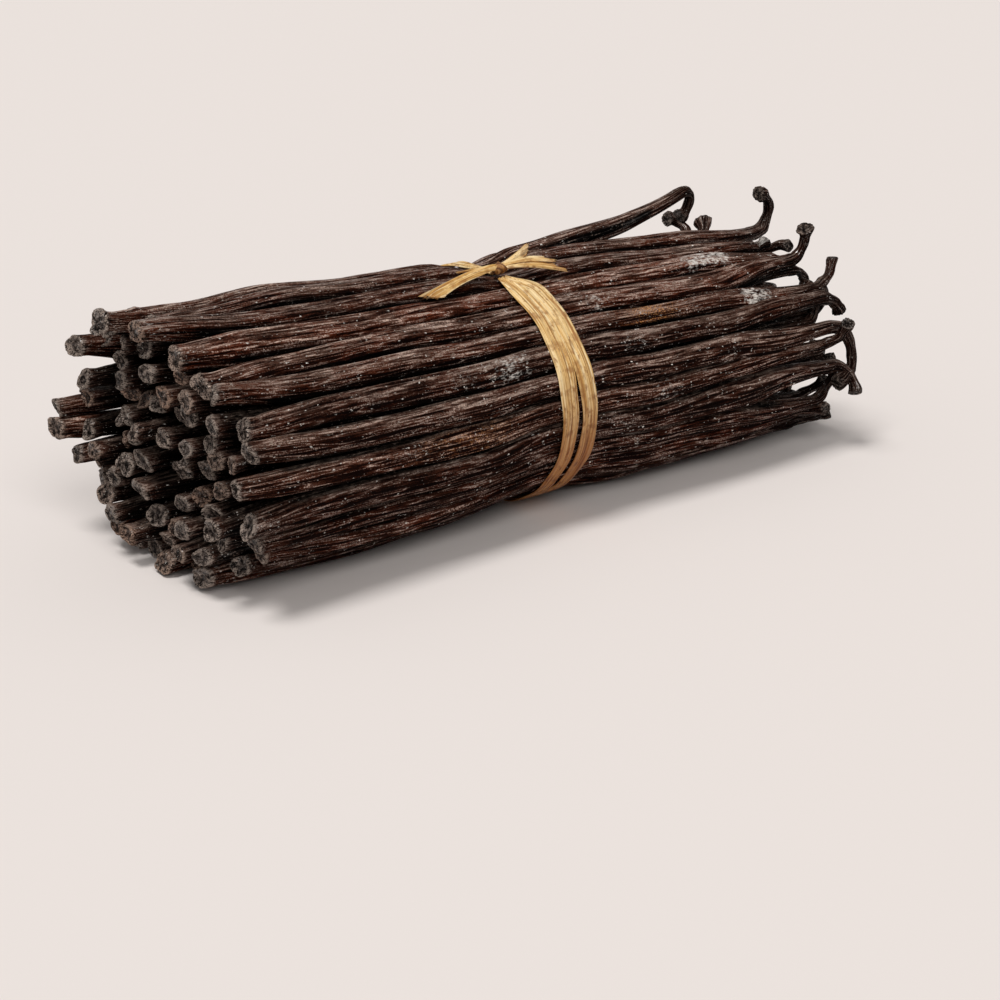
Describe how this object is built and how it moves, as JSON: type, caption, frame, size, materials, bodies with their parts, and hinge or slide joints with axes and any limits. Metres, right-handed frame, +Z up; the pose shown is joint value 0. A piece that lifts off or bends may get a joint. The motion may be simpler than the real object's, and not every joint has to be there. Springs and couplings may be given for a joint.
{
  "type": "vanilla pod bundle",
  "caption": "Bundle of long dark cured vanilla pods, blunt at one end and hooked at the other, tied round the middle with pale raffia.",
  "frame": {"origin": "under the middle of the whole bundle, on the surface it lies on", "axes": "+X along the pods, from their blunt blossom ends to their hooked stem ends; +Z up; -Y is the side the picture shows"},
  "size_m": [0.1838, 0.0742, 0.0574],
  "materials": {
    "vanilla": "dark brown, wrinkled and slightly oily",
    "raffia": "pale straw, dry and fibrous"
  },
  "bodies": {
    "root": {"vanilla_pods": "vanilla", "raffia_tie": "raffia"}
  },
  "joints": []
}
